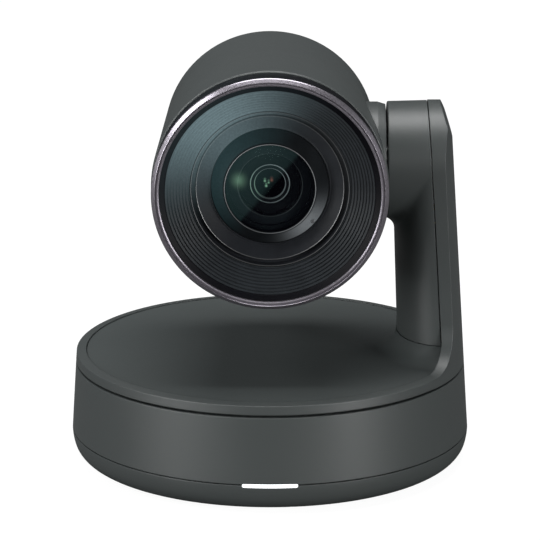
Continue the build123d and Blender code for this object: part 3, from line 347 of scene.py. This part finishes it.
def coated_glass(name, tint, veil_level, glints=()):
    """Anti-reflection coated glass: dark and clear, with a painted coloured reflection over its upper left half.

    Each glint is (x, z, radius, colour, level), a small painted reflection of a lamp between the elements.
    """
    g = Graph(name)
    clear = g.add("BsdfTransparent", {"Color": tint}).outputs[0]
    gloss = g.add("BsdfGlossy", {"Color": rgb(0.12, 0.18, 0.17), "Roughness": 0.05}).outputs[0]
    fresnel = g.add("Fresnel", {"IOR": 1.18}).outputs[0]
    body = g.add("MixShader", {0: fresnel, 1: clear, 2: gloss}).outputs[0]
    # Painted reflection over the upper left half, strongest from VEIL_REACH on, and a faint painted violet glow
    # over all the glass.
    depth = g.toward(VEIL_ANGLE)
    half = g.span(depth, -0.2, 0.5)
    body = g.with_glow(body, VEIL, g.product(half, g.span(depth, 0.0, VEIL_REACH, 1.0, 2.1), veil_level))
    body = g.with_glow(body, VIOLET, veil_level * 0.12)
    # Painted glints: small reflections of lamps between the elements.
    for x, z, radius, colour, level in glints:
        body = g.with_glow(body, colour, g.product(g.spot(x, z, radius), level))
    return g.finish(body)


def sensor_window(name):
    """Image sensor under its window: a fine grid of two dark colours."""
    g = Graph(name)
    grid = g.add("TexChecker", {"Vector": g.coordinates, "Scale": 2500.0,
                                "Color1": rgb(0.05, 0.1, 0.09), "Color2": rgb(0.09, 0.06, 0.1)})
    shader = g.add("BsdfPrincipled", {"Base Color": grid.outputs["Color"], "Roughness": 0.12,
                                      "Coat Weight": 1.0})
    return g.finish(shader.outputs[0])


SLOT_MATERIALS = {
    "shell_plastic": moulded_plastic("shell_plastic", rgb(0.040, 0.046, 0.046),
                                     rgb(0.045, 0.051, 0.050), 0.44),
    "foot_rubber": rubber("foot_rubber"),
    "light_diffuser": status_light("light_diffuser"),
    "circuit_board": circuit_board("circuit_board"),
    "plated_steel": machined_metal("plated_steel", rgb(0.52, 0.53, 0.55), 0.32),
    "bearing_steel": machined_metal("bearing_steel", rgb(0.66, 0.67, 0.68), 0.18),
    "screw_steel": machined_metal("screw_steel", rgb(0.16, 0.16, 0.17), 0.35),
    "brass": machined_metal("brass", rgb(0.70, 0.50, 0.20), 0.25),
    "cast_aluminium": blasted_metal("cast_aluminium", rgb(0.60, 0.61, 0.63), 0.42),
    "motor_can": machined_metal("motor_can", rgb(0.45, 0.45, 0.47), 0.28),
    "gear_nylon": moulded_plastic("gear_nylon", rgb(0.66, 0.64, 0.58), rgb(0.72, 0.70, 0.64), 0.45),
    "black_plastic": moulded_plastic("black_plastic", rgb(0.012, 0.014, 0.016),
                                     rgb(0.016, 0.018, 0.02), 0.38),
    "cable_sheath": moulded_plastic("cable_sheath", grey(0.02), grey(0.03), 0.6),
    "trim_metal": blasted_metal("trim_metal", rgb(0.30, 0.28, 0.315), 0.30, metallic=0.9),
    # Sheens and ring glows on the lens blacks, and the veil on the glass, are painted reflections and glints.
    "bezel_gloss": lens_black("bezel_gloss", rgb(0.002, 0.002, 0.003), 0.45,
                              sheens=[(130.0, 2.0, TEAL, 0.026)]),
    "retainer_black": lens_black("retainer_black", rgb(0.006, 0.007, 0.008), 0.36,
                                 sheens=[(152.0, 1.3, DEEP_TEAL, 0.036), (-44.0, 10.0, PALE, 0.15)],
                                 bright_rings=[(16.85, 0.16, 0.15)],
                                 glow_from=17.1, ring_glow=0.16, fill=1.0),
    "lens_glass": coated_glass("lens_glass", rgb(0.70, 0.75, 0.75), 0.001),
    "sensor": sensor_window("sensor"),
}

# Nodes that look different from the rest of their slot
NODE_MATERIALS = {
    "deck_panel": moulded_plastic("deck_plastic", rgb(0.042, 0.049, 0.049),
                                  rgb(0.048, 0.055, 0.054), 0.66, ior=1.33),
    # Sheens and ring glows on the lens blacks below, and veils and glints on the glasses, are painted reflections
    # and glints.
    "ribbed_baffle": lens_black("baffle_black", rgb(0.012, 0.014, 0.016), 0.40,
                                sheens=[(128.0, 3.0, TEAL, 0.22), (-90.0, 0.5, PALE, 0.004),
                                        (60.0, 0.5, PALE, 0.010)],
                                fill=0.5),
    "lens_housing": lens_black("housing_black", rgb(0.010, 0.011, 0.013), 0.45,
                               sheens=[(130.0, 3.0, TEAL, 0.17), (40.0, 2.0, PALE, 0.012)],
                               bright_rings=[(29.25, 0.22, 0.06), (27.25, 0.18, 0.12),
                                             (12.0, 0.14, 0.08)],
                               glow_from=21.6, ring_glow=0.035),
    "zoom_cell": lens_black("cell_black", rgb(0.005, 0.005, 0.006), 0.34,
                            sheens=[(182.0, 3.0, GREEN, 0.16), (45.0, 3.0, PALE, 0.14)],
                            bright_rings=[(7.25, 0.22, 0.35), (5.75, 0.2, 0.3)],
                            ring_glow=0.10, fill=1.0, rings_only=True),
    "head_screws": machined_metal("lens_screw_steel", rgb(0.45, 0.46, 0.48), 0.30),
    "front_lens": coated_glass("front_glass", rgb(0.80, 0.85, 0.85), 0.0065,
                               glints=[(-11.5, 2.9, 4.5, GREEN, 0.10)]),
    "zoom_lens": coated_glass("zoom_glass", grey(0.4), 0.002,
                              glints=[(-1.9, 0.6, 0.8, GREEN, 0.6), (-0.5, 0.0, 0.7, GREEN, 0.5),
                                      (-1.4, -1.3, 0.8, GREEN, 0.7), (0.6, 0.9, 1.0, RED, 0.25)]),
}


def dress_cad_nodes():
    """Gives each CAD node its own material if it has one, or else its slot's."""
    for part in frame["record"]["subparts"]:
        obj = frame["nodes"][part["node"]]
        obj.data.materials.clear()
        slot_material = SLOT_MATERIALS[part["material_slot"]]
        obj.data.materials.append(NODE_MATERIALS.get(part["node"], slot_material))


# ---------------------------------------------------------------- stage, light, camera

def stage_floor():
    """Pale paper that the camera sees lit to white; it gives little light back, so the base stays dark."""
    gap_below_feet = 0.05 * MM
    bpy.ops.mesh.primitive_plane_add(size=12.0, location=(0, 0, cad_low.z - gap_below_feet))
    floor = bpy.context.object
    floor.name = "floor"
    g = Graph("floor_paper")
    tone = g.mix(g.noise(3.0, 3.0), grey(0.10), grey(0.11))
    diffuse = g.add("BsdfDiffuse", {"Color": tone}).outputs[0]
    seen = g.add("LightPath").outputs["Is Camera Ray"]
    floor.data.materials.append(g.finish(g.with_glow(diffuse, grey(1.0), g.product(seen, 0.95))))


def softbox(name, at, aim, width, height, watts):
    data = bpy.data.lights.new(name, "AREA")
    data.shape = "RECTANGLE"
    data.size = width
    data.size_y = height
    data.energy = watts
    lamp = bpy.data.objects.new(name, data)
    lamp.location = at
    lamp.rotation_euler = (Vector(aim) - Vector(at)).to_track_quat("-Z", "Y").to_euler()
    bpy.context.scene.collection.objects.link(lamp)


def studio_lights():
    softbox("top_box", (0.0, 0.10, 1.2), BODY_CENTRE, width=0.9, height=0.7, watts=15.0)
    softbox("left_box", (-0.91, -0.40, 0.79), LENS_CENTRE, width=0.30, height=0.60, watts=6.5)
    softbox("left_strip", (-0.95, -0.62, 0.16), BODY_CENTRE, width=0.35, height=0.40, watts=6.0)
    softbox("low_front_left", (-0.72, -0.92, 0.12), BODY_CENTRE, width=0.30, height=0.30, watts=2.2)
    softbox("right_strip", (0.84, -0.78, 0.20), BODY_CENTRE, width=0.36, height=0.50, watts=10.5)
    softbox("front_fill", (0.0, -1.9, 0.7), BODY_CENTRE, width=0.8, height=0.6, watts=2.0)


def studio_world():
    """White surround for the camera, dim grey for everything else."""
    world = bpy.data.worlds.new("studio")
    bpy.context.scene.world = world
    world.use_nodes = True
    tree = world.node_tree
    tree.nodes.clear()
    path = tree.nodes.new("ShaderNodeLightPath")
    seen = tree.nodes.new("ShaderNodeBackground")
    ambient = tree.nodes.new("ShaderNodeBackground")
    choose = tree.nodes.new("ShaderNodeMixShader")
    output = tree.nodes.new("ShaderNodeOutputWorld")
    seen.inputs["Color"].default_value = grey(1.0)
    ambient.inputs["Color"].default_value = rgb(0.95, 0.98, 1.0)
    ambient.inputs["Strength"].default_value = 0.10
    tree.links.new(path.outputs["Is Camera Ray"], choose.inputs[0])
    tree.links.new(ambient.outputs[0], choose.inputs[1])
    tree.links.new(seen.outputs[0], choose.inputs[2])
    tree.links.new(choose.outputs[0], output.inputs[0])


def product_camera():
    """Long lens, straight in front and a little above, looking down at the camera body."""
    data = bpy.data.cameras.new("product_camera")
    data.lens = CAMERA_FOCAL_MM
    data.sensor_width = CAMERA_SENSOR_MM
    camera = bpy.data.objects.new("product_camera", data)
    back = CAMERA_DISTANCE * math.cos(CAMERA_ELEVATION)
    height = CAMERA_AIM_Z + CAMERA_DISTANCE * math.sin(CAMERA_ELEVATION)
    camera.location = (0.0, -back, height)
    camera.rotation_euler = (math.pi / 2 - CAMERA_ELEVATION, 0.0, 0.0)
    bpy.context.scene.collection.objects.link(camera)
    bpy.context.scene.camera = camera


dress_cad_nodes()
stage_floor()
studio_world()
studio_lights()
product_camera()
bpy.context.scene.view_settings.view_transform = "Standard"
